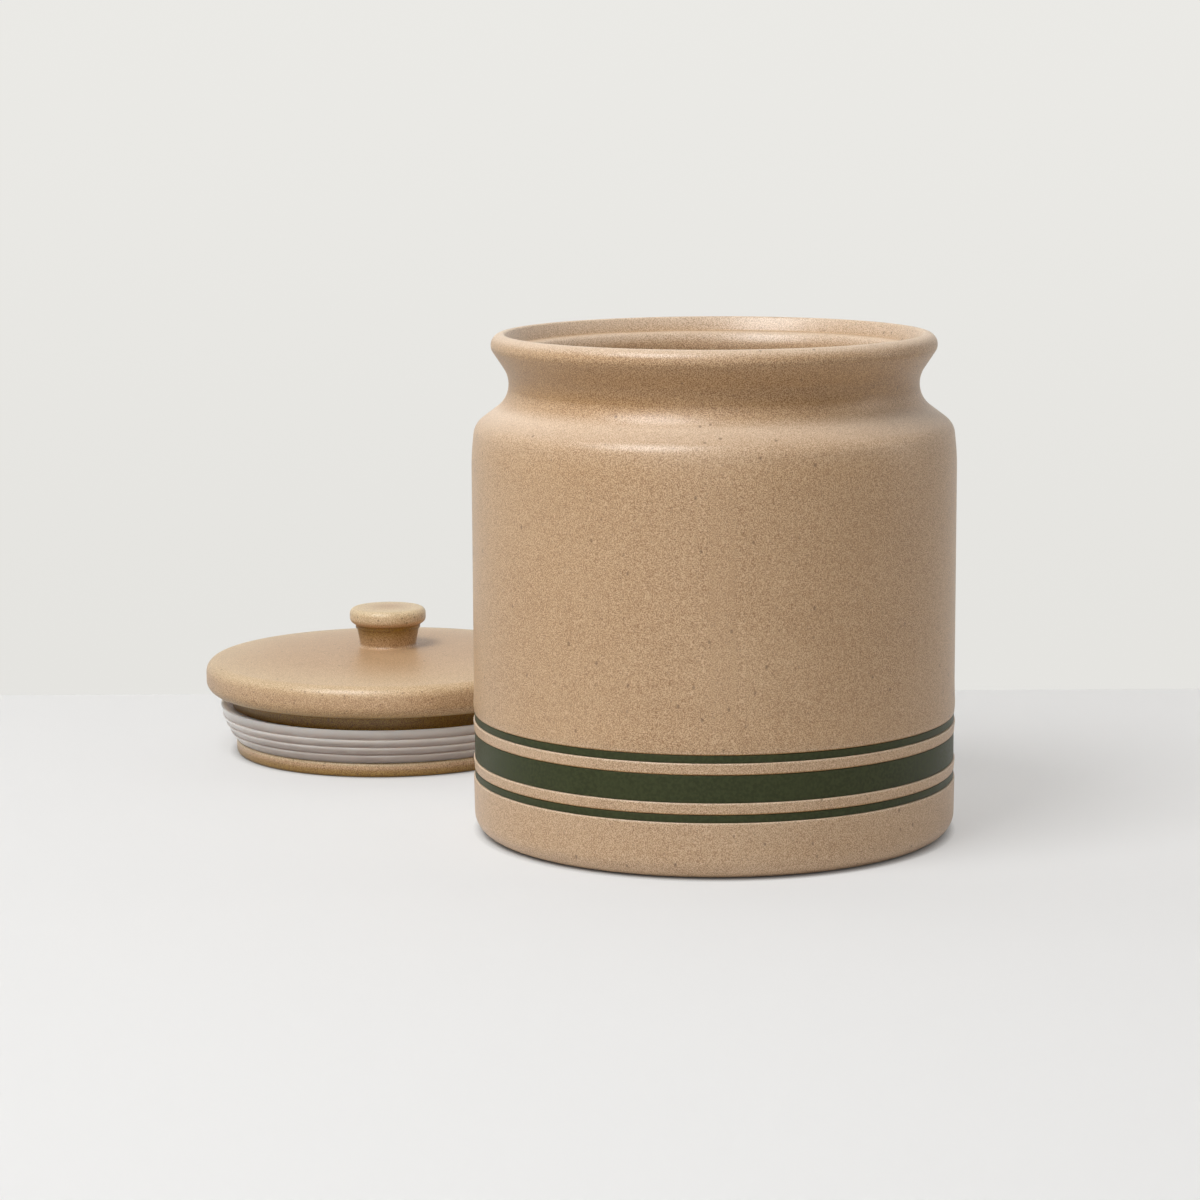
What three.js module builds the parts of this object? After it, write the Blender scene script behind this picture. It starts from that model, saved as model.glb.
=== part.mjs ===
// Stoneware canister: a glazed crock with three inlaid bands, and its gasketed lid standing beside it.
// Millimetres, +Z up. The origin is the crock's axis at table level.
import * as THREE from 'three';

// Crock
const CROCK_HEIGHT = 178.2;
const BODY_RADIUS = 86;
const BODY_WALL = 6.2;
const FLOOR_THICKNESS = 7.5;
const BASE_ROUND = 7;
const FOOT_RING_WIDTH = 6;
const FOOT_RECESS = 1.6;
const FOOT_EDGE_ROUND = 0.8;
const INNER_FLOOR_ROUND = 9;

// Shoulder: the wall leans in a little, turns over a soft corner and runs up to the neck
const LEAN_HEIGHT = 135.5;
const LEAN_IN = 1.15;
const LEAN_ROUND = 90;
const SHOULDER_HEIGHT = 146;
const SHOULDER_ROUND = 7;
const SHOULDER_INNER_DROP = 5;
const SHOULDER_INNER_ROUND = 9;

// Neck and galleried rim: the gallery leans out like a funnel, and its ledge rolls over into the flared bore
const NECK_BORE = 66.5;
const NECK_WALL = 2.4;
const NECK_HEIGHT = 158;
const NECK_ROUND = 10.5;
const BORE_LENGTH = 19.5;
const BORE_END_ROUND = 6;
const LEDGE_DEPTH = 5.2;
const LEDGE_ROUND = 2.6;
const THROAT_FLARE = 2.4;
const THROAT_DROP = 4.4;
const THROAT_ROUND = 8;
const GALLERY_CLEARANCE = 1.2;
const GALLERY_LEAN = 2.8;
const GALLERY_ROUND = 1.2;
const RIM_WALL = 4.8;
const RIM_FLARE_DEPTH = 5.3;
const RIM_UNDER_ROUND = 4;
const RIM_OUTER_ROUND = 4;
const RIM_INNER_ROUND = 1.2;

// Glaze bands, from the lowest up, each laid in a shallow groove
// The wall's own glaze is thick, and its edge rolls outwards below each band and above the last one
const BAND_START = 20;
const BAND_NARROW = 2.8;
const BAND_WIDE = 9.6;
const BAND_SPACING = 4;
const GROOVE_DEPTH = 1.2;
const GROOVE_EDGE_ROUND = 0.4;
const BAND_SINK = 0.15;
const BAND_BED = 0.3;
const BAND_EDGE_GAP = 0.1;
const GLAZE_ROLL = 0.3;
const ROLL_HEIGHT = 2.2;
const ROLL_ROUND = 12;
const ROLL_FADE = 8;

// Lid: a domed disc on a hollow collar, which stands on its foot lip
const LID_OVERHANG = 6.3;
const LID_EDGE_HEIGHT = 12.2;
const LID_UPPER_ROUND = 5.5;
const LID_LOWER_ROUND = 4.6;
const LID_DOME_RISE = 4.6;
const LID_CROWN = 7.6;
const LID_HOLLOW_ROUND = 5;
const COLLAR_CLEARANCE = 4;
const COLLAR_WALL = 10.2;
const COLLAR_SHOW = 6;
const COLLAR_CORNER_ROUND = 0.8;
const COLLAR_EDGE_ROUND = 0.4;
const FOOT_LIP_HEIGHT = 5.5;
const FOOT_LIP_SETBACK = 1.3;
const FOOT_LIP_ROUND = 0.9;
const FOOT_LIP_LOWER_ROUND = 1.6;
const GASKET_GROOVE_DEPTH = 4.8;

// Gasket: ribs stepped like a fir tree, the top one a little wider than the neck's bore and turned up like a cup
const GASKET_HEIGHT = 14;
const GASKET_CUP = 1.4;
const GASKET_SQUEEZE = 0.8;
const GASKET_CLEARANCE = 0.3;
const GASKET_TAPER_POWER = 1.5;
const RIB_COUNT = 4;
const RIB_PITCH = 3.3;
const RIB_STEP = 0.6;
const RIB_LAND = 0.35;
const RIB_ROUND = 0.25;

// Knob
const KNOB_HEIGHT = 15.8;
const KNOB_RADIUS = 15.2;
const KNOB_CAP_HEIGHT = 5.1;
const KNOB_CAP_UPPER_ROUND = 2.4;
const KNOB_CAP_LOWER_ROUND = 2.2;
const KNOB_CROWN = 0.6;
const KNOB_STEM_RADIUS = 10.95;
const KNOB_STEM_TOP_RADIUS = 12.4;
const KNOB_STEM_HEIGHT = 7.1;
const KNOB_RING_STEP = 0.5;
const KNOB_RING_HEIGHT = 1.3;
const KNOB_RING_ROUND = 0.3;
const KNOB_ROOT_FLARE = 1.1;
const KNOB_ROOT_HEIGHT = 1.1;
const KNOB_ROOT_ROUND = 1.1;
const KNOB_BED = 0.3;

// Where the lid stands, from the crock's axis
const LID_STANDS_LEFT = 125.8;
const LID_STANDS_BEHIND = 147;

// Facets: steps round the axis, and how far an arc may stand off its chord
const ROUND_STEPS = 44;
const KNOB_ROUND_STEPS = 28;
const CHORD_TOLERANCE = 0.14;

// Sizes that follow from the ones above
const LID_RADIUS = NECK_BORE + LID_OVERHANG;
const GALLERY_RADIUS = LID_RADIUS + GALLERY_CLEARANCE;
const RIM_RADIUS = GALLERY_RADIUS + RIM_WALL;
const LEDGE_HEIGHT = CROCK_HEIGHT - LEDGE_DEPTH;
const COLLAR_RADIUS = NECK_BORE - COLLAR_CLEARANCE;
const FOOT_LIP_RADIUS = COLLAR_RADIUS - FOOT_LIP_SETBACK;
const GROOVE_RADIUS = COLLAR_RADIUS - GASKET_GROOVE_DEPTH;
const GROOVE_TOP = FOOT_LIP_HEIGHT + GASKET_HEIGHT - GASKET_CUP + 2 * GASKET_CLEARANCE;
const DISC_UNDERSIDE = GROOVE_TOP + COLLAR_SHOW;
const DISC_EDGE_TOP = DISC_UNDERSIDE + LID_EDGE_HEIGHT;
const LID_TOP = DISC_EDGE_TOP + LID_DOME_RISE;

const BANDS = [
  { name: 'glaze_band_lower', bottom: BAND_START, width: BAND_NARROW },
  { name: 'glaze_band_middle', bottom: BAND_START + BAND_NARROW + BAND_SPACING, width: BAND_WIDE },
  { name: 'glaze_band_upper', bottom: BAND_START + BAND_NARROW + BAND_WIDE + 2 * BAND_SPACING, width: BAND_NARROW },
];

const stonewareColour = 0xc8a582;
const bandColour = 0x39412f;
const siliconeColour = 0xd9d4d0;

// A corner of a half profile: radius, height and how far it is rounded.
function corner(radius, height, round = 0) {
  return { point: new THREE.Vector2(radius, height), round };
}

// The angle by which an outline turns at its corner, and the run of edge that its rounding takes up.
function measureTurn(before, here, after) {
  const arriving = here.point.clone().sub(before.point).normalize();
  const leaving = after.point.clone().sub(here.point).normalize();
  const turn = Math.atan2(arriving.cross(leaving), arriving.dot(leaving));
  const run = here.round * Math.tan(Math.abs(turn) / 2);
  return { arriving, leaving, turn, run };
}

// The points of one rounded corner. A rounding that its edges have no room for is made smaller.
function roundCorner(here, { arriving, leaving, turn, run }, room) {
  const fittedRun = run * Math.min(1, room);
  if (fittedRun < 1e-6) {
    return [here.point.clone()];
  }
  const radius = fittedRun / Math.tan(Math.abs(turn) / 2);
  const start = here.point.clone().addScaledVector(arriving, -fittedRun);
  const side = Math.sign(turn);
  const centre = start.clone().add(new THREE.Vector2(-arriving.y, arriving.x).multiplyScalar(side * radius));
  const widestStep = 2 * Math.acos(Math.max(0, 1 - CHORD_TOLERANCE / radius));
  const steps = Math.ceil(Math.abs(turn) / widestStep);
  const points = [];
  for (let step = 0; step <= steps; step += 1) {
    points.push(start.clone().rotateAround(centre, (turn * step) / steps));
  }
  points[steps] = here.point.clone().addScaledVector(leaving, fittedRun);
  return points;
}

// Rounds every corner of an outline. An open outline keeps its two ends, a closed one comes back to its start.
function roundOutline(corners, closed) {
  const count = corners.length;
  const at = (index) => corners[(index + count) % count];
  const isEnd = (index) => !closed && (index === 0 || index === count - 1);
  const turns = corners.map((here, index) => {
    return isEnd(index) ? { run: 0 } : measureTurn(at(index - 1), here, at(index + 1));
  });
  const edgeRoom = corners.map((here, index) => {
    const length = here.point.distanceTo(at(index + 1).point);
    const needed = turns[index].run + turns[(index + 1) % count].run;
    return needed > 0 ? length / needed : 1;
  });
  const points = corners.flatMap((here, index) => {
    const room = Math.min(edgeRoom[(index - 1 + count) % count], edgeRoom[index]);
    return isEnd(index) ? [here.point.clone()] : roundCorner(here, turns[index], room);
  });
  return closed ? [...points, points[0].clone()] : points;
}

// Turns a half profile about the +Z axis.
function turnProfile(corners, { closed = false, steps = ROUND_STEPS } = {}) {
  const geometry = new THREE.LatheGeometry(roundOutline(corners, closed), steps);
  return geometry.rotateX(Math.PI / 2);
}

function makeMesh(name, geometry, colour, roughness) {
  const material = new THREE.MeshStandardMaterial({ color: colour, roughness, metalness: 0 });
  const mesh = new THREE.Mesh(geometry, material);
  mesh.name = name;
  return mesh;
}

// The crock's outline runs from its recessed underside up the wall, over the rim and down inside.
function crockOutline() {
  const footInner = BODY_RADIUS - BASE_ROUND - FOOT_RING_WIDTH;
  const grooveRadius = BODY_RADIUS - GROOVE_DEPTH;
  const grooves = BANDS.flatMap(({ bottom, width }) => [
    corner(BODY_RADIUS + GLAZE_ROLL, bottom, GROOVE_EDGE_ROUND),
    corner(grooveRadius, bottom),
    corner(grooveRadius, bottom + width),
    corner(BODY_RADIUS, bottom + width, GROOVE_EDGE_ROUND),
  ]);
  const rollHeight = BANDS.at(-1).bottom + BANDS.at(-1).width + ROLL_HEIGHT;
  const innerRadius = BODY_RADIUS - BODY_WALL;
  return [
    corner(0, FOOT_RECESS),
    corner(footInner, FOOT_RECESS, FOOT_EDGE_ROUND),
    corner(footInner, 0, FOOT_EDGE_ROUND),
    corner(BODY_RADIUS, 0, BASE_ROUND),
    ...grooves,
    corner(BODY_RADIUS + GLAZE_ROLL, rollHeight, ROLL_ROUND),
    corner(BODY_RADIUS, rollHeight + ROLL_FADE),
    corner(BODY_RADIUS, LEAN_HEIGHT, LEAN_ROUND),
    corner(BODY_RADIUS - LEAN_IN, SHOULDER_HEIGHT, SHOULDER_ROUND),
    corner(NECK_BORE + NECK_WALL, NECK_HEIGHT, NECK_ROUND),
    corner(RIM_RADIUS, CROCK_HEIGHT - RIM_FLARE_DEPTH, RIM_UNDER_ROUND),
    corner(RIM_RADIUS, CROCK_HEIGHT, RIM_OUTER_ROUND),
    corner(GALLERY_RADIUS, CROCK_HEIGHT, RIM_INNER_ROUND),
    corner(GALLERY_RADIUS - GALLERY_LEAN, LEDGE_HEIGHT, GALLERY_ROUND),
    corner(NECK_BORE + THROAT_FLARE, LEDGE_HEIGHT, LEDGE_ROUND),
    corner(NECK_BORE, LEDGE_HEIGHT - THROAT_DROP, THROAT_ROUND),
    corner(NECK_BORE, LEDGE_HEIGHT - BORE_LENGTH, BORE_END_ROUND),
    corner(innerRadius, SHOULDER_HEIGHT - SHOULDER_INNER_DROP, SHOULDER_INNER_ROUND),
    corner(innerRadius, FLOOR_THICKNESS, INNER_FLOOR_ROUND),
    corner(0, FLOOR_THICKNESS),
  ];
}

// A band of glaze lies on the groove's bed, a little below the wall's surface.
function bandOutline({ bottom, width }) {
  const inner = BODY_RADIUS - GROOVE_DEPTH + BAND_BED;
  const outer = BODY_RADIUS - BAND_SINK;
  return [
    corner(inner, bottom + BAND_EDGE_GAP),
    corner(outer, bottom + BAND_EDGE_GAP),
    corner(outer, bottom + width - BAND_EDGE_GAP),
    corner(inner, bottom + width - BAND_EDGE_GAP),
  ];
}

// The lid's outline runs from the hollow's ceiling down its inside, round the foot lip, up the collar with
// the gasket's groove, round the disc's edge and over the dome.
function lidOutline() {
  const hollowRadius = COLLAR_RADIUS - COLLAR_WALL;
  const domeSlope = LID_DOME_RISE / LID_RADIUS;
  const domeMiddle = LID_RADIUS / 2;
  const domeRound = domeMiddle / Math.tan(Math.atan(2 * domeSlope) / 2);
  const hollowTop = DISC_EDGE_TOP - LID_CROWN + LID_DOME_RISE / 2;
  return [
    corner(0, hollowTop),
    corner(hollowRadius, hollowTop, LID_HOLLOW_ROUND),
    corner(hollowRadius, 0, FOOT_LIP_ROUND),
    corner(FOOT_LIP_RADIUS, 0, FOOT_LIP_LOWER_ROUND),
    corner(FOOT_LIP_RADIUS, FOOT_LIP_HEIGHT, FOOT_LIP_ROUND),
    corner(GROOVE_RADIUS, FOOT_LIP_HEIGHT),
    corner(GROOVE_RADIUS, GROOVE_TOP),
    corner(COLLAR_RADIUS, GROOVE_TOP, COLLAR_EDGE_ROUND),
    corner(COLLAR_RADIUS, DISC_UNDERSIDE, COLLAR_CORNER_ROUND),
    corner(LID_RADIUS, DISC_UNDERSIDE, LID_LOWER_ROUND),
    corner(LID_RADIUS, DISC_EDGE_TOP, LID_UPPER_ROUND),
    corner(domeMiddle, LID_TOP, domeRound),
    corner(0, LID_TOP),
  ];
}

// The gasket sits in the collar's groove. Each rib tapers in below its edge, so that the lid pushes in easily.
function gasketOutline() {
  const inner = GROOVE_RADIUS + GASKET_CLEARANCE;
  const bottom = FOOT_LIP_HEIGHT + GASKET_CLEARANCE;
  const topRadius = NECK_BORE + GASKET_SQUEEZE;
  const radiusAt = (height) => {
    const below = 1 - height / GASKET_HEIGHT;
    return topRadius - (topRadius - FOOT_LIP_RADIUS) * below ** GASKET_TAPER_POWER;
  };
  const corners = [corner(inner, bottom)];
  for (let rib = 0; rib < RIB_COUNT; rib += 1) {
    const isTop = rib === RIB_COUNT - 1;
    const ribBottom = rib * RIB_PITCH;
    const ribTop = isTop ? GASKET_HEIGHT : ribBottom + RIB_PITCH;
    const edgeRadius = isTop ? topRadius : radiusAt(ribTop) + RIB_STEP / 2;
    const rootRadius = radiusAt(ribBottom) - (rib === 0 ? 0 : RIB_STEP / 2);
    corners.push(corner(rootRadius, bottom + ribBottom));
    corners.push(corner(edgeRadius, bottom + ribTop - RIB_LAND, RIB_ROUND));
    corners.push(corner(edgeRadius, bottom + ribTop, RIB_ROUND));
  }
  const cupRoot = bottom + GASKET_HEIGHT - GASKET_CUP;
  corners.push(corner(COLLAR_RADIUS, cupRoot));
  corners.push(corner(inner, cupRoot));
  return corners;
}

// The knob's outline runs from its bed on the lid up the flared root, the tapered stem, the ring and the cap.
function knobOutline() {
  const bed = LID_TOP + KNOB_BED;
  const top = bed + KNOB_HEIGHT;
  const stemTop = bed + KNOB_STEM_HEIGHT;
  const ringRadius = KNOB_STEM_TOP_RADIUS + KNOB_RING_STEP;
  const capBottom = top - KNOB_CROWN - KNOB_CAP_HEIGHT;
  return [
    corner(0, bed),
    corner(KNOB_STEM_RADIUS + KNOB_ROOT_FLARE, bed),
    corner(KNOB_STEM_RADIUS, bed + KNOB_ROOT_HEIGHT, KNOB_ROOT_ROUND),
    corner(KNOB_STEM_TOP_RADIUS, stemTop),
    corner(ringRadius, stemTop, KNOB_RING_ROUND),
    corner(ringRadius, stemTop + KNOB_RING_HEIGHT, KNOB_RING_ROUND),
    corner(KNOB_RADIUS, capBottom, KNOB_CAP_LOWER_ROUND),
    corner(KNOB_RADIUS, top - KNOB_CROWN, KNOB_CAP_UPPER_ROUND),
    corner(0, top),
  ];
}

function makeCrock() {
  const crock = new THREE.Group();
  crock.add(makeMesh('crock_body', turnProfile(crockOutline()), stonewareColour, 0.55));
  for (const band of BANDS) {
    crock.add(makeMesh(band.name, turnProfile(bandOutline(band), { closed: true }), bandColour, 0.4));
  }
  return crock;
}

function makeLid() {
  const lid = new THREE.Group();
  lid.add(makeMesh('lid_disc', turnProfile(lidOutline()), stonewareColour, 0.5));
  lid.add(makeMesh('lid_knob', turnProfile(knobOutline(), { steps: KNOB_ROUND_STEPS }), stonewareColour, 0.5));
  lid.add(makeMesh('lid_gasket', turnProfile(gasketOutline(), { closed: true }), siliconeColour, 0.45));
  lid.position.set(-LID_STANDS_LEFT, LID_STANDS_BEHIND, 0);
  return lid;
}

const canister = new THREE.Group();
canister.add(makeCrock(), makeLid());

export default canister;
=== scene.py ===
"""The looks of a stoneware canister: a speckled crock with three green bands, and its lid beside it.

The scene is in metres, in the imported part's frame: +Z up, the crock's axis at the origin, the viewer
towards -Y. The turned outlines are written in millimetres and become metres where their meshes are made.
"""
import math

import bpy
import numpy as np
from mathutils import Matrix, Vector


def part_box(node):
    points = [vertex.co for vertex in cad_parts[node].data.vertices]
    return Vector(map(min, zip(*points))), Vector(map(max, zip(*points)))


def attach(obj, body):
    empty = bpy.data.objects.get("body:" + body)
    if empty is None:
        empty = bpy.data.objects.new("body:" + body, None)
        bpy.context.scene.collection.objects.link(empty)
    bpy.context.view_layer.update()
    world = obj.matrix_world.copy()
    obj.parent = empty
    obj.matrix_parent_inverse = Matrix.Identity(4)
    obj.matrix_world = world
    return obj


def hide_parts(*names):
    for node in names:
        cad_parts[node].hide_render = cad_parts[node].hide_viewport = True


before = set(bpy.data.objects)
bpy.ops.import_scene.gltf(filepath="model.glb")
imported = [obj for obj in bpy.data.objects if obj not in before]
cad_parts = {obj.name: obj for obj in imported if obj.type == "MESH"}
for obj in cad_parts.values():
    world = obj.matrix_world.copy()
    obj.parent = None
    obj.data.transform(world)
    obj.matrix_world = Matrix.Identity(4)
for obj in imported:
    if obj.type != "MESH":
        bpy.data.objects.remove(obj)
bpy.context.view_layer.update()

MM = 0.001


def box_mm(node):
    """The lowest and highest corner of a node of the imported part, in millimetres."""
    low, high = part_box(node)
    return low / MM, high / MM


# Crock, with its wall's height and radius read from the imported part
CROCK_HIGH = box_mm("crock_body")[1]
GLAZE_ROLL = 0.3
BODY_RADIUS = CROCK_HIGH.x - GLAZE_ROLL
CROCK_HEIGHT = CROCK_HIGH.z
BODY_WALL = 6.2
FLOOR_THICKNESS = 7.5
BASE_ROUND = 7
FOOT_RING_WIDTH = 6
FOOT_RECESS = 1.6
FOOT_EDGE_ROUND = 0.8
INNER_FLOOR_ROUND = 9
LEAN_HEIGHT = 135.5
LEAN_IN = 1.15
LEAN_ROUND = 90
SHOULDER_HEIGHT = 146
SHOULDER_ROUND = 7
SHOULDER_INNER_DROP = 5
SHOULDER_INNER_ROUND = 9

# Bands of green glaze, in the wall's grooves
BAND_NAMES = ("glaze_band_lower", "glaze_band_middle", "glaze_band_upper")
BAND_EDGE_GAP = 0.1
GROOVE_DEPTH = 1.2
GROOVE_EDGE_ROUND = 0.35
BAND_BED = 0.3
BAND_CORNER_ROUND = 0.2
ROLL_HEIGHT = 2.2
ROLL_ROUND = 12
ROLL_FADE = 8

# Lid, gasket and knob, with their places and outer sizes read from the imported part
LID_LOW, LID_HIGH = box_mm("lid_disc")
LID_PLACE = (LID_LOW + LID_HIGH) / 2
LID_RADIUS = (LID_HIGH.x - LID_LOW.x) / 2
LID_TOP = LID_HIGH.z
GASKET_LOW, GASKET_HIGH = box_mm("lid_gasket")
GASKET_RADIUS = (GASKET_HIGH.x - GASKET_LOW.x) / 2
KNOB_LOW, KNOB_HIGH = box_mm("lid_knob")
KNOB_RADIUS = (KNOB_HIGH.x - KNOB_LOW.x) / 2

# Neck and galleried rim, which the lid and its gasket fit
GASKET_SQUEEZE = 0.8
NECK_BORE = GASKET_RADIUS - GASKET_SQUEEZE
NECK_WALL = 2.4
NECK_HEIGHT = 158
NECK_ROUND = 10.5
BORE_LENGTH = 19.5
BORE_END_ROUND = 6
LEDGE_DEPTH = 5.2
LEDGE_ROUND = 2.6
THROAT_FLARE = 2.4
THROAT_DROP = 4.4
THROAT_ROUND = 8
GALLERY_CLEARANCE = 1.2
GALLERY_RADIUS = LID_RADIUS + GALLERY_CLEARANCE
GALLERY_LEAN = 2.8
GALLERY_ROUND = 1.2
RIM_WALL = 4.8
RIM_RADIUS = GALLERY_RADIUS + RIM_WALL
RIM_FLARE_DEPTH = 5.3
RIM_UNDER_ROUND = 4
RIM_OUTER_ROUND = 4
RIM_INNER_ROUND = 1.2

# Lid
LID_EDGE_HEIGHT = 12.2
LID_UPPER_ROUND = 5.5
LID_LOWER_ROUND = 4.6
LID_DOME_RISE = 4.6
LID_CROWN = 7.6
LID_HOLLOW_ROUND = 5
COLLAR_CLEARANCE = 4
COLLAR_RADIUS = NECK_BORE - COLLAR_CLEARANCE
COLLAR_WALL = 10.2
COLLAR_CORNER_ROUND = 0.8
COLLAR_EDGE_ROUND = 0.4
FOOT_LIP_SETBACK = 1.3
FOOT_LIP_RADIUS = COLLAR_RADIUS - FOOT_LIP_SETBACK
FOOT_LIP_ROUND = 0.9
FOOT_LIP_LOWER_ROUND = 1.6
GASKET_CLEARANCE = 0.3
FOOT_LIP_HEIGHT = GASKET_LOW.z - GASKET_CLEARANCE
GASKET_GROOVE_DEPTH = 4.8
GROOVE_RADIUS = COLLAR_RADIUS - GASKET_GROOVE_DEPTH
DISC_EDGE_TOP = LID_TOP - LID_DOME_RISE
DISC_UNDERSIDE = DISC_EDGE_TOP - LID_EDGE_HEIGHT

# Gasket
GASKET_HEIGHT = 14
GASKET_CUP = 1.4
CUP_ROOT = GASKET_LOW.z + GASKET_HEIGHT - GASKET_CUP
GASKET_TAPER_POWER = 1.5
RIB_COUNT = 4
RIB_PITCH = 3.3
RIB_STEP = 0.6
RIB_LAND = 0.35
RIB_ROUND = 0.3

# Knob
KNOB_CAP_HEIGHT = 5.1
KNOB_CAP_UPPER_ROUND = 2.4
KNOB_CAP_LOWER_ROUND = 2.2
KNOB_CROWN = 0.6
KNOB_STEM_RADIUS = 10.95
KNOB_STEM_TOP_RADIUS = 12.4
KNOB_STEM_HEIGHT = 7.1
KNOB_RING_STEP = 0.5
KNOB_RING_HEIGHT = 1.3
KNOB_RING_ROUND = 0.8
KNOB_ROOT_FLARE = 1.5
KNOB_ROOT_ROUND = 1.4
KNOB_SINK = 0.4

# Fineness of the turned meshes
ROUND_STEPS = 320
ARC_STEP = math.radians(7)
ARC_CHORD = 2.4
LONGEST_RUN = 2.5
SHORTEST_RUN = 0.01
NEARLY_ZERO = 1e-6

# How far a glaze's edge shows along the wall, and where along the wall's foot and the shoulder's slope a
# tone
# knot is set: paler there, as painted light on the foot and partly painted highlight on the slope
EDGE_LINE = 0.7
FOOT_TONE_AT = 0.5
SLOPE_TONE_AT = 0.45

# Camera, at the photograph's place
CAMERA_PLACE = Vector((-0.04065, -1.2103, 0.2737))
CAMERA_PITCH = math.radians(8.973)
CAMERA_ROLL = math.radians(-0.30)
FOCAL_PIXELS = 3427.4
FRAME_PIXELS = 1200
SENSOR_WIDTH = 36

# Stage and light
FLOOR_SIZE = 8
BACKDROP_PLACE = 0.265
BACKDROP_HEIGHT = 4
FLOOR_COLOUR = (0.79, 0.79, 0.785, 1)
FLOOR_SEEN = (0.805, 0.80, 0.793, 1)
FLOOR_EVEN = 0.5
# Reach and samples of the floor's painted contact shadow
CONTACT_REACH = 0.0035
CONTACT_SAMPLES = 4
FLOOR_SPECULAR = 0.1
PAPER_ROUGHNESS = 0.9
BACKDROP_COLOUR = (0.80, 0.79, 0.76, 1)
BACKDROP_LOW = (0.785, 0.777, 0.747, 1)
BACKDROP_HIGH = (0.828, 0.820, 0.789, 1)
BACKDROP_FADE = 0.32
WORLD_COLOUR = (0.80, 0.79, 0.765, 1)
LIGHT_TARGET = Vector((0, 0, 0.08))
LAMP_COLOUR = (1, 1, 1)
CARD_COLOUR = (1, 0.87, 0.76)

# Colours, linear
TAN = (0.507, 0.320, 0.172, 1)
# Browner colours for pooled glaze and painted shade, and paler ones for the glaze breaking over edges and
# for painted highlights
CROCK_POOLED_AND_SHADED = (0.285, 0.131, 0.020, 1)
CROCK_EDGE_AND_HIGHLIGHT = (0.69, 0.515, 0.36, 1)
LID_POOLED_AND_SHADED = (0.268, 0.140, 0.020, 1)
LID_EDGE_AND_HIGHLIGHT = (0.665, 0.505, 0.305, 1)
PLAIN = (1, 1, 1, 1)
GRAIN_DARK = (0.56, 0.48, 0.41, 1)
GRAIN_LIGHT = (1.28, 1.44, 1.66, 1)
SPECK = (0.15, 0.080, 0.040, 1)
GREEN = (0.043, 0.050, 0.0175, 1)
GREEN_DARK = (0.029, 0.035, 0.011, 1)
SILICONE = (0.45, 0.385, 0.345, 1)
# Warm colour for the silicone's clouds and for painted shade on the lower ribs, and pale colour for painted
# highlights on the ribs' edges
SILICONE_CLOUD_AND_SHADE = (0.29, 0.23, 0.20, 1)
SILICONE_HIGHLIGHT = (0.70, 0.65, 0.61, 1)

# Patterns: scales are per metre, and a span is where a pattern begins to show and where it shows in full
WHOLE_PATTERN = (0.3, 0.7)
FACING_UP = 0.93
FACING_SIDEWAYS = 0.45

# Stoneware glaze
GRAIN_SCALE = 2700
DARK_GRAIN_SPAN = (0.50, 0.40)
LIGHT_GRAIN_SPAN = (0.51, 0.60)
POOLED_AND_SHADED_GRAIN = 1.35
EDGE_GRAIN = 0.75
GRAIN_BUMP = 0.00006
MOTTLE_SCALE = 260
MOTTLE_SPAN = (0.50, 0.72)
MOTTLE_SHARE = 0.13
MOTTLE_BUMP = 0.00012
CLOUD_SCALE = 22
CLOUD_SPAN = (0.40, 0.70)
CLOUD_SHARE = 0.12
SPECK_SCALE = 190
SPECK_STRETCH = (1, 1, 0.7)
SPECK_SPAN = (0.13, 0.06)
SPECK_CHANCE = (0.50, 0.54)
SPECK_SHARE = 0.62
PINHOLE_SCALE = 620
PINHOLE_SPAN = (0.30, 0.14)
PINHOLE_CHANCE = (0.60, 0.62)
FLAT_PINHOLES = 0.1
STONEWARE_ROUGHNESS = (0.33, 0.42)
STONEWARE_SPECULAR = 0.54
STONEWARE_BUMP_STRENGTH = 0.4

# Green glaze
GREEN_GRAIN_SCALE = 900
GREEN_GRAIN_SPAN = (0.35, 0.65)
GREEN_CLOUD_SCALE = 60
GREEN_CLOUD_SPAN = (0.4, 0.7)
GREEN_CLOUD_SHARE = 0.35
GREEN_ROUGHNESS = (0.40, 0.50)
GREEN_SPECULAR = 0.2
GREEN_BUMP = 0.00003
GREEN_BUMP_STRENGTH = 0.5

# Silicone
SILICONE_CLOUD_SCALE = 90
SILICONE_CLOUD_SPAN = (0.35, 0.65)
SILICONE_CLOUD_SHARE = 0.3
DUST_SCALE = 1300
DUST_BUMP = 0.00002
DUST_BUMP_STRENGTH = 0.4
SILICONE_ROUGHNESS = (0.34, 0.46)
SUBSURFACE_RADIUS = (1.0, 0.85, 0.75)
SUBSURFACE_SCALE = 0.010
SILICONE_SHEEN_ROUGHNESS = 0.3


# Outlines: lists of corners, each with a radius, a height and a rounding in millimetres, and a tone, which
# in part paints shade and highlights


def corner(radius, height, rounding=0.0, tone=0.0):
    """Tone makes the colour browner there, down to -1, or paler, up to 1: partly the glaze's own pooling and
    breaking, partly painted shade and painted highlight.
    """
    return Vector((radius, height)), rounding, tone


def turn_at(before, here, after):
    """The directions into and out of a corner, and the angle between them, positive to the left."""
    arriving = (here - before).normalized()
    leaving = (after - here).normalized()
    cross = arriving.x * leaving.y - arriving.y * leaving.x
    return arriving, leaving, math.atan2(cross, arriving.dot(leaving))


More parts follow.
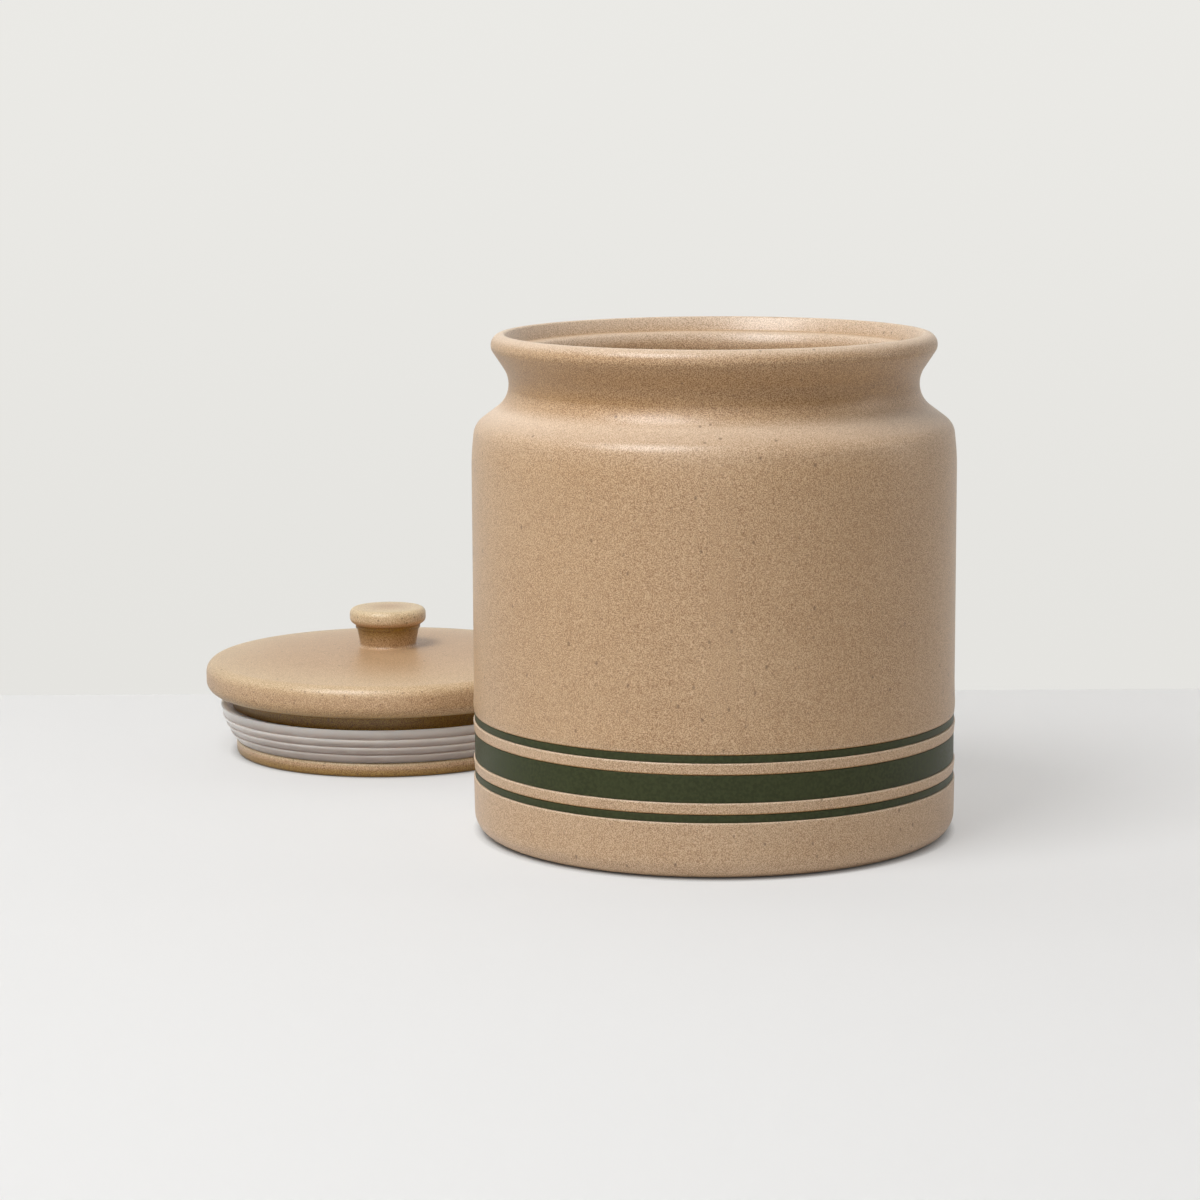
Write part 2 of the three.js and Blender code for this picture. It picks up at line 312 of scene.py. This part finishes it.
def rounded_corner(here, rounding, arriving, leaving, turn, room):
    """The points of one rounded corner. A rounding that its edges have no room for is made smaller."""
    run = rounding * math.tan(abs(turn) / 2) * min(1, room)
    if run < NEARLY_ZERO:
        return [here.copy()]
    radius = run / math.tan(abs(turn) / 2)
    start = here - arriving * run
    centre = start + Vector((-arriving.y, arriving.x)) * radius * math.copysign(1, turn)
    steps = max(2, math.ceil(abs(turn) / ARC_STEP), math.ceil(abs(turn) * radius / ARC_CHORD))
    spoke = start - centre
    points = []
    for step in range(steps + 1):
        points.append(centre + Matrix.Rotation(turn * step / steps, 2) @ spoke)
    return points


def rounded_outline(corners, closed=False):
    """An outline with rounded corners and its long runs divided: an array of (radius, height, tone)."""
    count = len(corners)
    places = [place for place, _, _ in corners]
    turns = []
    runs = []
    for index, (place, rounding, _) in enumerate(corners):
        if not closed and index in (0, count - 1):
            turns.append(None)
            runs.append(0.0)
            continue
        turns.append(turn_at(places[index - 1], place, places[(index + 1) % count]))
        runs.append(rounding * math.tan(abs(turns[index][2]) / 2))
    rooms = []
    for index in range(count):
        length = (places[(index + 1) % count] - places[index]).length
        needed = runs[index] + runs[(index + 1) % count]
        rooms.append(length / needed if needed > 0 else 1.0)
    points = []
    middles = []
    for index, (place, rounding, _) in enumerate(corners):
        arc = [place]
        if turns[index] is not None:
            arc = rounded_corner(place, rounding, *turns[index], min(rooms[index - 1], rooms[index]))
        middles.append(len(points) + len(arc) // 2)
        points.extend(arc)
    return divided(with_tones(points, middles, [tone for _, _, tone in corners], closed), closed)


def with_tones(points, middles, tones, closed):
    """The points with their tones, which change evenly from the middle of one corner to the next one's."""
    steps = [(end - start).length for start, end in zip(points, points[1:])]
    lengths = np.cumsum([0.0, *steps])
    whole = lengths[-1] + (points[0] - points[-1]).length
    values = np.interp(lengths, lengths[middles], tones, period=whole if closed else None)
    return [Vector((*point, value)) for point, value in zip(points, values)]


def divided(points, closed):
    """The same outline with its long runs divided, and no point given twice where two arcs meet."""
    result = []
    ends = points[1:] + points[:1] if closed else points[1:]
    for start, end in zip(points, ends):
        run = (end - start).xy.length
        if run < SHORTEST_RUN:
            continue
        pieces = math.ceil(run / LONGEST_RUN)
        for piece in range(pieces):
            result.append(start.lerp(end, piece / pieces))
    if not closed:
        result.append(points[-1])
    return np.array([tuple(point) for point in result])


# Meshes


def turned_mesh(name, corners, material, place=(0, 0), closed=False):
    """Turns an outline about an upright axis into a closed mesh that keeps the outline's tone."""
    outline = rounded_outline(corners, closed)
    angles = np.linspace(0, 2 * math.pi, ROUND_STEPS, endpoint=False)
    on_axis = outline[:, 0] < NEARLY_ZERO
    ring_sizes = np.where(on_axis, 1, ROUND_STEPS)
    ring_starts = np.cumsum(ring_sizes) - ring_sizes
    rings = []
    for (radius, height, _), size in zip(outline, ring_sizes):
        turned = angles[:size]
        across = radius * np.cos(turned)
        away = radius * np.sin(turned)
        rings.append(np.stack([across, away, np.full(size, height)], axis=1))
    vertices = np.concatenate(rings) + np.array([*place, 0.0])
    count = len(outline)
    faces = []
    for low in range(count if closed else count - 1):
        high = (low + 1) % count
        for step in range(ROUND_STEPS):
            after = (step + 1) % ROUND_STEPS
            ends = ((low, step), (low, after), (high, after), (high, step))
            loop = [int(ring_starts[ring] + (0 if on_axis[ring] else turn)) for ring, turn in ends]
            faces.append(list(dict.fromkeys(loop)))
    mesh = bpy.data.meshes.new(name)
    mesh.from_pydata((vertices * MM).tolist(), [], faces)
    mesh.shade_smooth()
    tone = mesh.attributes.new("tone", "FLOAT", "POINT")
    tone.data.foreach_set("value", np.repeat(outline[:, 2], ring_sizes).astype(np.float32))
    mesh.materials.append(material)
    piece = bpy.data.objects.new(name, mesh)
    bpy.context.scene.collection.objects.link(piece)
    return piece


def dress(piece, body, node):
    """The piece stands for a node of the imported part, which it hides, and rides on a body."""
    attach(piece, body)
    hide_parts(node)


# Nodes of the materials


class Shader:
    """The nodes of a material, or of the world, which are added one by one."""

    def __init__(self, owner):
        owner.use_nodes = True
        self.owner = owner
        self.tree = owner.node_tree
        self.surface = self.tree.nodes.get("Principled BSDF")

    def node(self, kind, **inputs):
        made = self.tree.nodes.new(kind)
        for name, value in inputs.items():
            self.feed(made, name.replace("_", " "), value)
        return made

    def feed(self, node, name, value):
        """Sets an input to a value, or links it to another node's output."""
        socket = node.inputs[name]
        if isinstance(value, bpy.types.NodeSocket):
            self.tree.links.new(value, socket)
        else:
            socket.default_value = value

    def place(self):
        return self.node("ShaderNodeTexCoord").outputs["Object"]

    def seen(self):
        """1 where something is seen directly, in a reflection or through something clear."""
        path = self.node("ShaderNodeLightPath").outputs
        seen = self.math("MAXIMUM", path["Is Camera Ray"], path["Is Glossy Ray"])
        return self.math("MAXIMUM", seen, path["Is Transmission Ray"])

    def attribute(self, name):
        made = self.node("ShaderNodeAttribute")
        made.attribute_name = name
        return made.outputs["Fac"]

    def steepness(self):
        """0 on surfaces that face up, 1 on those that face sideways or down."""
        normal = self.node("ShaderNodeNewGeometry").outputs["Normal"]
        upright = self.node("ShaderNodeSeparateXYZ", Vector=normal).outputs["Z"]
        return self.ramp(upright, FACING_UP, FACING_SIDEWAYS)

    def noise(self, scale, detail=2.0, roughness=0.5):
        made = self.node(
            "ShaderNodeTexNoise",
            Vector=self.place(),
            Scale=scale,
            Detail=detail,
            Roughness=roughness,
        )
        return made.outputs["Fac"]

    def cells(self, scale, stretch=(1, 1, 1)):
        """Distance to the middle of the nearest cell, and that cell's random colour."""
        mapping = self.node("ShaderNodeMapping", Vector=self.place(), Scale=stretch)
        made = self.node("ShaderNodeTexVoronoi", Vector=mapping.outputs["Vector"], Scale=scale)
        return made.outputs["Distance"], made.outputs["Color"]

    def ramp(self, value, low, high, out_low=0.0, out_high=1.0):
        """Maps the range from low to high smoothly on to another range, and holds it there outside."""
        made = self.node(
            "ShaderNodeMapRange",
            Value=value,
            From_Min=low,
            From_Max=high,
            To_Min=out_low,
            To_Max=out_high,
        )
        made.interpolation_type = "SMOOTHSTEP"
        return made.outputs["Result"]

    def math(self, operation, first, second):
        made = self.node("ShaderNodeMath")
        made.operation = operation
        self.feed(made, 0, first)
        self.feed(made, 1, second)
        return made.outputs["Value"]

    def mix(self, share, first, second, blend="MIX"):
        made = self.node("ShaderNodeMix")
        made.data_type = "RGBA"
        made.blend_type = blend
        for index, value in ((0, share), (6, first), (7, second)):
            self.feed(made, index, value)
        return made.outputs[2]

    def bump(self, height, distance, strength, normal=None):
        made = self.node("ShaderNodeBump", Height=height, Distance=distance, Strength=strength)
        if normal is not None:
            self.feed(made, "Normal", normal)
        return made.outputs["Normal"]


def stoneware_material(name, pooled_and_shaded, edge, flat_grain, steep_grain, steep_pinholes):
    """Satin tan glaze with grain, specks and pinholes, paler or browner as the outline's tone says, which is
    partly the glaze's pooling and breaking and partly painted shade and painted highlight.
    """
    shader = Shader(bpy.data.materials.new(name))
    fine_grain = shader.noise(GRAIN_SCALE, detail=2, roughness=0.6)
    mottle = shader.noise(MOTTLE_SCALE, detail=3, roughness=0.6)
    cloud = shader.noise(CLOUD_SCALE, detail=2)
    steepness = shader.steepness()
    tone = shader.attribute("tone")
    grain = shader.ramp(steepness, 0.0, 1.0, flat_grain, steep_grain)
    grain = shader.math("MULTIPLY", grain, shader.ramp(tone, -1.0, 1.0, POOLED_AND_SHADED_GRAIN, EDGE_GRAIN))
    dark_grain = shader.math("MULTIPLY", shader.ramp(fine_grain, *DARK_GRAIN_SPAN), grain)
    light_grain = shader.math("MULTIPLY", shader.ramp(fine_grain, *LIGHT_GRAIN_SPAN), grain)
    tint = shader.mix(dark_grain, PLAIN, GRAIN_DARK)
    tint = shader.mix(light_grain, tint, GRAIN_LIGHT)
    tint = shader.mix(shader.ramp(mottle, *MOTTLE_SPAN, out_high=MOTTLE_SHARE), tint, GRAIN_DARK)
    tint = shader.mix(shader.ramp(cloud, *CLOUD_SPAN, out_high=CLOUD_SHARE), tint, GRAIN_LIGHT)
    # Painted light in part: the tone browns the colour towards the pooled colour, which also stands for
    # painted shade, and pales it towards the edge colour, which also stands for painted highlight
    colour = shader.mix(shader.ramp(tone, 0.0, -1.0), TAN, pooled_and_shaded)
    colour = shader.mix(shader.ramp(tone, 0.0, 1.0), colour, edge)
    colour = shader.mix(1.0, colour, tint, blend="MULTIPLY")
    distance, chance = shader.cells(SPECK_SCALE, SPECK_STRETCH)
    speck = shader.math("MULTIPLY", shader.ramp(distance, *SPECK_SPAN), shader.ramp(chance, *SPECK_CHANCE))
    colour = shader.mix(shader.math("MULTIPLY", speck, SPECK_SHARE), colour, SPECK)
    distance, chance = shader.cells(PINHOLE_SCALE)
    pit = shader.ramp(distance, *PINHOLE_SPAN)
    pit = shader.math("MULTIPLY", pit, shader.ramp(chance, *PINHOLE_CHANCE))
    pit_depth = shader.ramp(steepness, 0.0, 1.0, FLAT_PINHOLES, steep_pinholes)
    pit = shader.math("MULTIPLY", pit, pit_depth)
    colour = shader.mix(pit, colour, SPECK)
    shader.feed(shader.surface, "Base Color", colour)
    shader.feed(shader.surface, "Roughness", shader.ramp(fine_grain, *WHOLE_PATTERN, *STONEWARE_ROUGHNESS))
    shader.feed(shader.surface, "Specular IOR Level", STONEWARE_SPECULAR)
    height = shader.math("SUBTRACT", fine_grain, pit)
    normal = shader.bump(height, GRAIN_BUMP, STONEWARE_BUMP_STRENGTH)
    normal = shader.bump(mottle, MOTTLE_BUMP, STONEWARE_BUMP_STRENGTH, normal)
    shader.feed(shader.surface, "Normal", normal)
    return shader.owner


def green_material():
    """Satin dark green glaze."""
    shader = Shader(bpy.data.materials.new("green_glaze"))
    grain = shader.noise(GREEN_GRAIN_SCALE, detail=3)
    cloud = shader.noise(GREEN_CLOUD_SCALE, detail=2)
    colour = shader.mix(shader.ramp(grain, *GREEN_GRAIN_SPAN), GREEN_DARK, GREEN)
    colour = shader.mix(shader.ramp(cloud, *GREEN_CLOUD_SPAN, out_high=GREEN_CLOUD_SHARE), colour, GREEN)
    shader.feed(shader.surface, "Base Color", colour)
    shader.feed(shader.surface, "Roughness", shader.ramp(grain, *WHOLE_PATTERN, *GREEN_ROUGHNESS))
    shader.feed(shader.surface, "Specular IOR Level", GREEN_SPECULAR)
    shader.feed(shader.surface, "Normal", shader.bump(grain, GREEN_BUMP, GREEN_BUMP_STRENGTH))
    return shader.owner


def silicone_material():
    """Milky silicone, with painted highlights along its ribs' edges and painted shade on its lower ribs."""
    shader = Shader(bpy.data.materials.new("milky_silicone"))
    cloud = shader.noise(SILICONE_CLOUD_SCALE, detail=3)
    dust = shader.noise(DUST_SCALE, detail=2)
    cloudiness = shader.ramp(cloud, *SILICONE_CLOUD_SPAN, out_high=SILICONE_CLOUD_SHARE)
    colour = shader.mix(cloudiness, SILICONE, SILICONE_CLOUD_AND_SHADE)
    tone = shader.attribute("tone")
    # Painted shade browns the lower ribs, and painted highlight pales the ribs' edges
    colour = shader.mix(shader.ramp(tone, 0.0, -1.0), colour, SILICONE_CLOUD_AND_SHADE)
    colour = shader.mix(shader.ramp(tone, 0.0, 1.0), colour, SILICONE_HIGHLIGHT)
    shader.feed(shader.surface, "Base Color", colour)
    shader.feed(shader.surface, "Roughness", shader.ramp(dust, *WHOLE_PATTERN, *SILICONE_ROUGHNESS))
    shader.feed(shader.surface, "Subsurface Weight", 1.0)
    shader.feed(shader.surface, "Subsurface Radius", SUBSURFACE_RADIUS)
    shader.feed(shader.surface, "Subsurface Scale", SUBSURFACE_SCALE)
    shader.feed(shader.surface, "Sheen Weight", 1.0)
    shader.feed(shader.surface, "Sheen Roughness", SILICONE_SHEEN_ROUGHNESS)
    shader.feed(shader.surface, "Normal", shader.bump(dust, DUST_BUMP, DUST_BUMP_STRENGTH))
    return shader.owner


def floor_material():
    """Pale paper, partly seen evenly lit, with a painted contact shadow close to the object. The rest of it
    keeps the shadows.
    """
    shader = Shader(bpy.data.materials.new("floor_paper"))
    shader.feed(shader.surface, "Base Color", FLOOR_COLOUR)
    shader.feed(shader.surface, "Roughness", PAPER_ROUGHNESS)
    shader.feed(shader.surface, "Specular IOR Level", FLOOR_SPECULAR)
    # Painted contact shadow: the even glow fades by ambient occlusion within a few millimetres of the object
    contact_shade = shader.node("ShaderNodeAmbientOcclusion", Distance=CONTACT_REACH)
    contact_shade.samples = CONTACT_SAMPLES
    rib_shade = shader.node("ShaderNodeSeparateXYZ", Vector=shader.place()).outputs["Y"]
    at_backdrop = shader.ramp(rib_shade, BACKDROP_PLACE - 2 * CONTACT_REACH, BACKDROP_PLACE - CONTACT_REACH)
    contact_shaded_glow = shader.math("MAXIMUM", contact_shade.outputs["AO"], at_backdrop)
    glow = shader.node("ShaderNodeEmission", Color=FLOOR_SEEN, Strength=contact_shaded_glow)
    paper = shader.node("ShaderNodeMixShader", Fac=shader.math("MULTIPLY", shader.seen(), FLOOR_EVEN))
    shader.feed(paper, 1, shader.surface.outputs["BSDF"])
    shader.feed(paper, 2, glow.outputs["Emission"])
    shader.feed(shader.tree.nodes["Material Output"], "Surface", paper.outputs["Shader"])
    return shader.owner


def backdrop_material():
    """Pale paper that is seen evenly lit, a little darker low down, and not seen at all from behind."""
    shader = Shader(bpy.data.materials.new("backdrop_paper"))
    shader.feed(shader.surface, "Base Color", BACKDROP_COLOUR)
    shader.feed(shader.surface, "Roughness", PAPER_ROUGHNESS)
    height = shader.node("ShaderNodeSeparateXYZ", Vector=shader.place()).outputs["Z"]
    colour = shader.mix(shader.ramp(height, 0, BACKDROP_FADE), BACKDROP_LOW, BACKDROP_HIGH)
    glow = shader.node("ShaderNodeEmission", Color=colour)
    paper = shader.node("ShaderNodeMixShader", Fac=shader.seen())
    shader.feed(paper, 1, shader.surface.outputs["BSDF"])
    shader.feed(paper, 2, glow.outputs["Emission"])
    behind = shader.node("ShaderNodeNewGeometry").outputs["Backfacing"]
    choice = shader.node("ShaderNodeMixShader", Fac=behind)
    shader.feed(choice, 1, paper.outputs["Shader"])
    shader.feed(choice, 2, shader.node("ShaderNodeBsdfTransparent").outputs["BSDF"])
    shader.feed(shader.tree.nodes["Material Output"], "Surface", choice.outputs["Shader"])
    return shader.owner


# Pieces


def crock_outline():
    """From the recessed underside up the wall, over the rim and down inside."""
    foot_inner = BODY_RADIUS - BASE_ROUND - FOOT_RING_WIDTH
    groove_radius = BODY_RADIUS - GROOVE_DEPTH
    rolled_radius = BODY_RADIUS + GLAZE_ROLL
    grooves = []
    for name in BAND_NAMES:
        low, high = box_mm(name)
        bottom = low.z - BAND_EDGE_GAP
        top = high.z + BAND_EDGE_GAP
        # Painted light along each band: the tan edge below the band is paler, partly painted highlight where
        # it faces up. The tan edge over the band's top is dark, partly painted shadow under its overhang and
        # partly where the glazes meet. The knots a little way off pale the wall slightly, as painted light.
        grooves.append(corner(rolled_radius, bottom - EDGE_LINE, tone=0.3))
        grooves.append(corner(rolled_radius, bottom, GROOVE_EDGE_ROUND, tone=0.8))
        grooves.append(corner(groove_radius, bottom))
        grooves.append(corner(groove_radius, top))
        grooves.append(corner(BODY_RADIUS, top, GROOVE_EDGE_ROUND, tone=-1))
        grooves.append(corner(BODY_RADIUS, top + EDGE_LINE, tone=0.3))
    roll_height = box_mm(BAND_NAMES[-1])[1].z + BAND_EDGE_GAP + ROLL_HEIGHT
    inner_radius = BODY_RADIUS - BODY_WALL
    ledge_height = CROCK_HEIGHT - LEDGE_DEPTH
    # Painted light: the wall's foot is paler, as if lit by the floor. The shoulder and its slope are paler,
    # partly the glaze breaking and partly painted highlight; the neck and the rim's underside are browner,
    # partly pooled glaze and partly painted shade.
    base = corner(BODY_RADIUS, 0, BASE_ROUND, tone=0.4)
    shoulder = corner(BODY_RADIUS - LEAN_IN, SHOULDER_HEIGHT, SHOULDER_ROUND, tone=0.4)
    neck = corner(NECK_BORE + NECK_WALL, NECK_HEIGHT, NECK_ROUND, tone=-0.5)
    return [
        corner(0, FOOT_RECESS),
        corner(foot_inner, FOOT_RECESS, FOOT_EDGE_ROUND),
        corner(foot_inner, 0, FOOT_EDGE_ROUND),
        base,
        corner(*base[0].lerp(grooves[0][0], FOOT_TONE_AT), tone=0.25),
        *grooves,
        corner(rolled_radius, roll_height, ROLL_ROUND),
        corner(BODY_RADIUS, roll_height + ROLL_FADE, LEAN_ROUND),
        corner(BODY_RADIUS, LEAN_HEIGHT, LEAN_ROUND),
        shoulder,
        corner(*shoulder[0].lerp(neck[0], SLOPE_TONE_AT), tone=0.9),
        neck,
        corner(RIM_RADIUS, CROCK_HEIGHT - RIM_FLARE_DEPTH, RIM_UNDER_ROUND, tone=-0.4),
        # Painted highlight, partly the glaze breaking pale: the rim's outer round, the gallery's top and the
        # ledge's roll are paler.
        corner(RIM_RADIUS, CROCK_HEIGHT, RIM_OUTER_ROUND, tone=0.7),
        corner(GALLERY_RADIUS, CROCK_HEIGHT, RIM_INNER_ROUND, tone=1),
        corner(GALLERY_RADIUS - GALLERY_LEAN, ledge_height, GALLERY_ROUND, tone=0.3),
        corner(NECK_BORE + THROAT_FLARE, ledge_height, LEDGE_ROUND, tone=1),
        corner(NECK_BORE, ledge_height - THROAT_DROP, THROAT_ROUND),
        corner(NECK_BORE, ledge_height - BORE_LENGTH, BORE_END_ROUND),
        corner(inner_radius, SHOULDER_HEIGHT - SHOULDER_INNER_DROP, SHOULDER_INNER_ROUND),
        corner(inner_radius, FLOOR_THICKNESS, INNER_FLOOR_ROUND),
        corner(0, FLOOR_THICKNESS),
    ]


def band_outline(name):
    low, high = box_mm(name)
    inner = BODY_RADIUS - GROOVE_DEPTH + BAND_BED
    return [
        corner(inner, low.z),
        corner(high.x, low.z, BAND_CORNER_ROUND),
        corner(high.x, high.z, BAND_CORNER_ROUND),
        corner(inner, high.z),
    ]


def dome_height(radius):
    """The height of the lid's dome at a distance from its middle."""
    return LID_TOP - LID_DOME_RISE * (radius / LID_RADIUS) ** 2


def lid_outline():
    """From the hollow's ceiling down its inside, round the foot lip, up the collar and over the dome."""
    hollow_radius = COLLAR_RADIUS - COLLAR_WALL
    hollow_top = DISC_EDGE_TOP - LID_CROWN + LID_DOME_RISE / 2
    groove_top = CUP_ROOT + GASKET_CLEARANCE
    dome_middle = LID_RADIUS / 2
    dome_round = dome_middle / math.tan(math.atan(2 * LID_DOME_RISE / LID_RADIUS) / 2)
    return [
        corner(0, hollow_top),
        corner(hollow_radius, hollow_top, LID_HOLLOW_ROUND),
        corner(hollow_radius, 0, FOOT_LIP_ROUND),
        # Painted shade: the foot lip's lower half is browner; its top edge is paler as painted highlight.
        corner(FOOT_LIP_RADIUS, 0, FOOT_LIP_LOWER_ROUND, tone=-1),
        corner(FOOT_LIP_RADIUS, FOOT_LIP_HEIGHT / 2, tone=-0.6),
        corner(FOOT_LIP_RADIUS, FOOT_LIP_HEIGHT, FOOT_LIP_ROUND, tone=1),
        corner(GROOVE_RADIUS, FOOT_LIP_HEIGHT),
        corner(GROOVE_RADIUS, groove_top),
        # Painted shade on the collar under the disc and on the disc's lower edge, painted highlight on its
        # upper edge, and the dome a little paler as painted sheen.
        corner(COLLAR_RADIUS, groove_top, COLLAR_EDGE_ROUND, tone=-1),
        corner(COLLAR_RADIUS, DISC_UNDERSIDE, COLLAR_CORNER_ROUND, tone=-1),
        corner(LID_RADIUS, DISC_UNDERSIDE, LID_LOWER_ROUND, tone=-0.6),
        corner(LID_RADIUS, DISC_EDGE_TOP, LID_UPPER_ROUND, tone=0.55),
        corner(dome_middle, LID_TOP, dome_round, tone=0.05),
        corner(0, LID_TOP, tone=0.05),
    ]


def gasket_outline():
    """Ribs like a fir tree's: each tapers in below its edge, and the top one is turned up like a cup."""
    inner = GROOVE_RADIUS + GASKET_CLEARANCE
    bottom = GASKET_LOW.z

    def radius_at(height):
        below = 1 - height / GASKET_HEIGHT
        return GASKET_RADIUS - (GASKET_RADIUS - FOOT_LIP_RADIUS) * below**GASKET_TAPER_POWER

    corners = [corner(inner, bottom)]
    for rib in range(RIB_COUNT):
        is_top = rib == RIB_COUNT - 1
        rib_bottom = rib * RIB_PITCH
        rib_top = GASKET_HEIGHT if is_top else rib_bottom + RIB_PITCH
        edge_radius = GASKET_RADIUS if is_top else radius_at(rib_top) + RIB_STEP / 2
        root_radius = radius_at(rib_bottom) - (0 if rib == 0 else RIB_STEP / 2)
        # Painted shade: the lower ribs are browner, the lowest most; painted highlight: each rib's edge is
        # paler.
        rib_shade = rib / (RIB_COUNT - 1) - 1
        corners.append(corner(root_radius, bottom + rib_bottom, RIB_ROUND / 2, tone=rib_shade))
        corners.append(corner(edge_radius, bottom + rib_top - RIB_LAND, RIB_ROUND, tone=1 + rib_shade / 2))
        corners.append(corner(edge_radius, bottom + rib_top, RIB_ROUND, tone=1 + rib_shade / 2))
    corners.append(corner(COLLAR_RADIUS, CUP_ROOT))
    corners.append(corner(inner, CUP_ROOT))
    return corners


def knob_outline():
    """From its bed in the dome up the glaze fillet, the tapered stem, the ring and the cap."""
    bed = KNOB_LOW.z
    stem_top = bed + KNOB_STEM_HEIGHT
    ring_radius = KNOB_STEM_TOP_RADIUS + KNOB_RING_STEP
    cap_bottom = KNOB_HIGH.z - KNOB_CROWN - KNOB_CAP_HEIGHT
    root_radius = KNOB_STEM_RADIUS + KNOB_ROOT_FLARE
    root_height = dome_height(root_radius)
    return [
        corner(0, root_height - KNOB_SINK),
        corner(root_radius, root_height - KNOB_SINK),
        # Painted light: a pale root, partly painted highlight, painted shade browning the stem and ring
        # under the cap, and painted highlight paling the cap's edges.
        corner(root_radius, root_height, tone=0.5),
        corner(KNOB_STEM_RADIUS, root_height, KNOB_ROOT_ROUND, tone=-0.2),
        corner(KNOB_STEM_TOP_RADIUS, stem_top, KNOB_RING_ROUND, tone=-0.8),
        corner(ring_radius, stem_top, KNOB_RING_ROUND, tone=-1),
        corner(ring_radius, stem_top + KNOB_RING_HEIGHT, KNOB_RING_ROUND, tone=-1),
        corner(KNOB_RADIUS, cap_bottom, KNOB_CAP_LOWER_ROUND, tone=0.4),
        corner(KNOB_RADIUS, KNOB_HIGH.z - KNOB_CROWN, KNOB_CAP_UPPER_ROUND, tone=1),
        corner(0, KNOB_HIGH.z, tone=0.1),
    ]


def make_crock():
    glaze = stoneware_material(
        "crock_stoneware", CROCK_POOLED_AND_SHADED, CROCK_EDGE_AND_HIGHLIGHT, flat_grain=0.7, steep_grain=0.9, steep_pinholes=0.3
    )
    green = green_material()
    dress(turned_mesh("crock_glazed", crock_outline(), glaze), "crock", "crock_body")
    for name in BAND_NAMES:
        ring = turned_mesh(name.replace("glaze", "green"), band_outline(name), green, closed=True)
        dress(ring, "crock", name)


def make_lid():
    place = LID_PLACE.xy
    glaze = stoneware_material(
        "lid_stoneware", LID_POOLED_AND_SHADED, LID_EDGE_AND_HIGHLIGHT, flat_grain=0.75, steep_grain=0.8, steep_pinholes=0.6
    )
    dress(turned_mesh("lid_glazed", lid_outline(), glaze, place), "lid", "lid_disc")
    dress(turned_mesh("knob_glazed", knob_outline(), glaze, place), "lid", "lid_knob")
    rubber = silicone_material()
    gasket = turned_mesh("gasket_ribbed", gasket_outline(), rubber, place, closed=True)
    dress(gasket, "lid", "lid_gasket")


# Stage, light and camera


def make_plane(name, corners, material):
    mesh = bpy.data.meshes.new(name)
    mesh.from_pydata(corners, [], [list(range(len(corners)))])
    mesh.materials.append(material)
    plane = bpy.data.objects.new(name, mesh)
    bpy.context.scene.collection.objects.link(plane)


def make_stage():
    half = FLOOR_SIZE / 2
    floor_corners = [(-half, -half, 0), (half, -half, 0), (half, half, 0), (-half, half, 0)]
    make_plane("floor", floor_corners, floor_material())
    back = BACKDROP_PLACE
    top = BACKDROP_HEIGHT
    wall_corners = [(-half, back, 0), (half, back, 0), (half, back, top), (-half, back, top)]
    make_plane("backdrop", wall_corners, backdrop_material())
    shader = Shader(bpy.data.worlds.new("studio"))
    background = shader.tree.nodes["Background"]
    shader.feed(background, "Color", WORLD_COLOUR)
    shader.feed(background, "Strength", shader.seen())
    bpy.context.scene.world = shader.owner


def make_softbox(name, azimuth, elevation, distance, size, power, colour=LAMP_COLOUR):
    """A square light facing the object. Azimuth 0 is at the viewer, and above 0 to the right."""
    turn = math.radians(azimuth)
    rise = math.radians(elevation)
    direction = Vector((math.sin(turn) * math.cos(rise), -math.cos(turn) * math.cos(rise), math.sin(rise)))
    light = bpy.data.lights.new(name, "AREA")
    light.shape = "SQUARE"
    light.size = size
    light.energy = power
    light.color = colour
    lamp = bpy.data.objects.new(name, light)
    lamp.location = LIGHT_TARGET + direction * distance
    lamp.rotation_euler = direction.to_track_quat("Z", "Y").to_euler()
    bpy.context.scene.collection.objects.link(lamp)


def make_lights():
    make_softbox("key_softbox", azimuth=-46, elevation=56, distance=1.7, size=0.85, power=24)
    make_softbox("front_softbox", azimuth=-10, elevation=25, distance=1.9, size=1.6, power=7.5)
    make_softbox(
        "right_card", azimuth=110, elevation=15, distance=1.7, size=1.2, power=13.5, colour=CARD_COLOUR
    )


def make_camera():
    data = bpy.data.cameras.new("camera")
    data.sensor_width = SENSOR_WIDTH
    data.lens = FOCAL_PIXELS / FRAME_PIXELS * SENSOR_WIDTH
    camera = bpy.data.objects.new("camera", data)
    tilt = Matrix.Rotation(math.pi / 2 - CAMERA_PITCH, 4, "X")
    roll = Matrix.Rotation(CAMERA_ROLL, 4, "Z")
    camera.matrix_world = Matrix.Translation(CAMERA_PLACE) @ tilt @ roll
    bpy.context.scene.collection.objects.link(camera)
    bpy.context.scene.camera = camera


make_crock()
make_lid()
make_stage()
make_lights()
make_camera()
bpy.context.scene.view_settings.view_transform = "Standard"
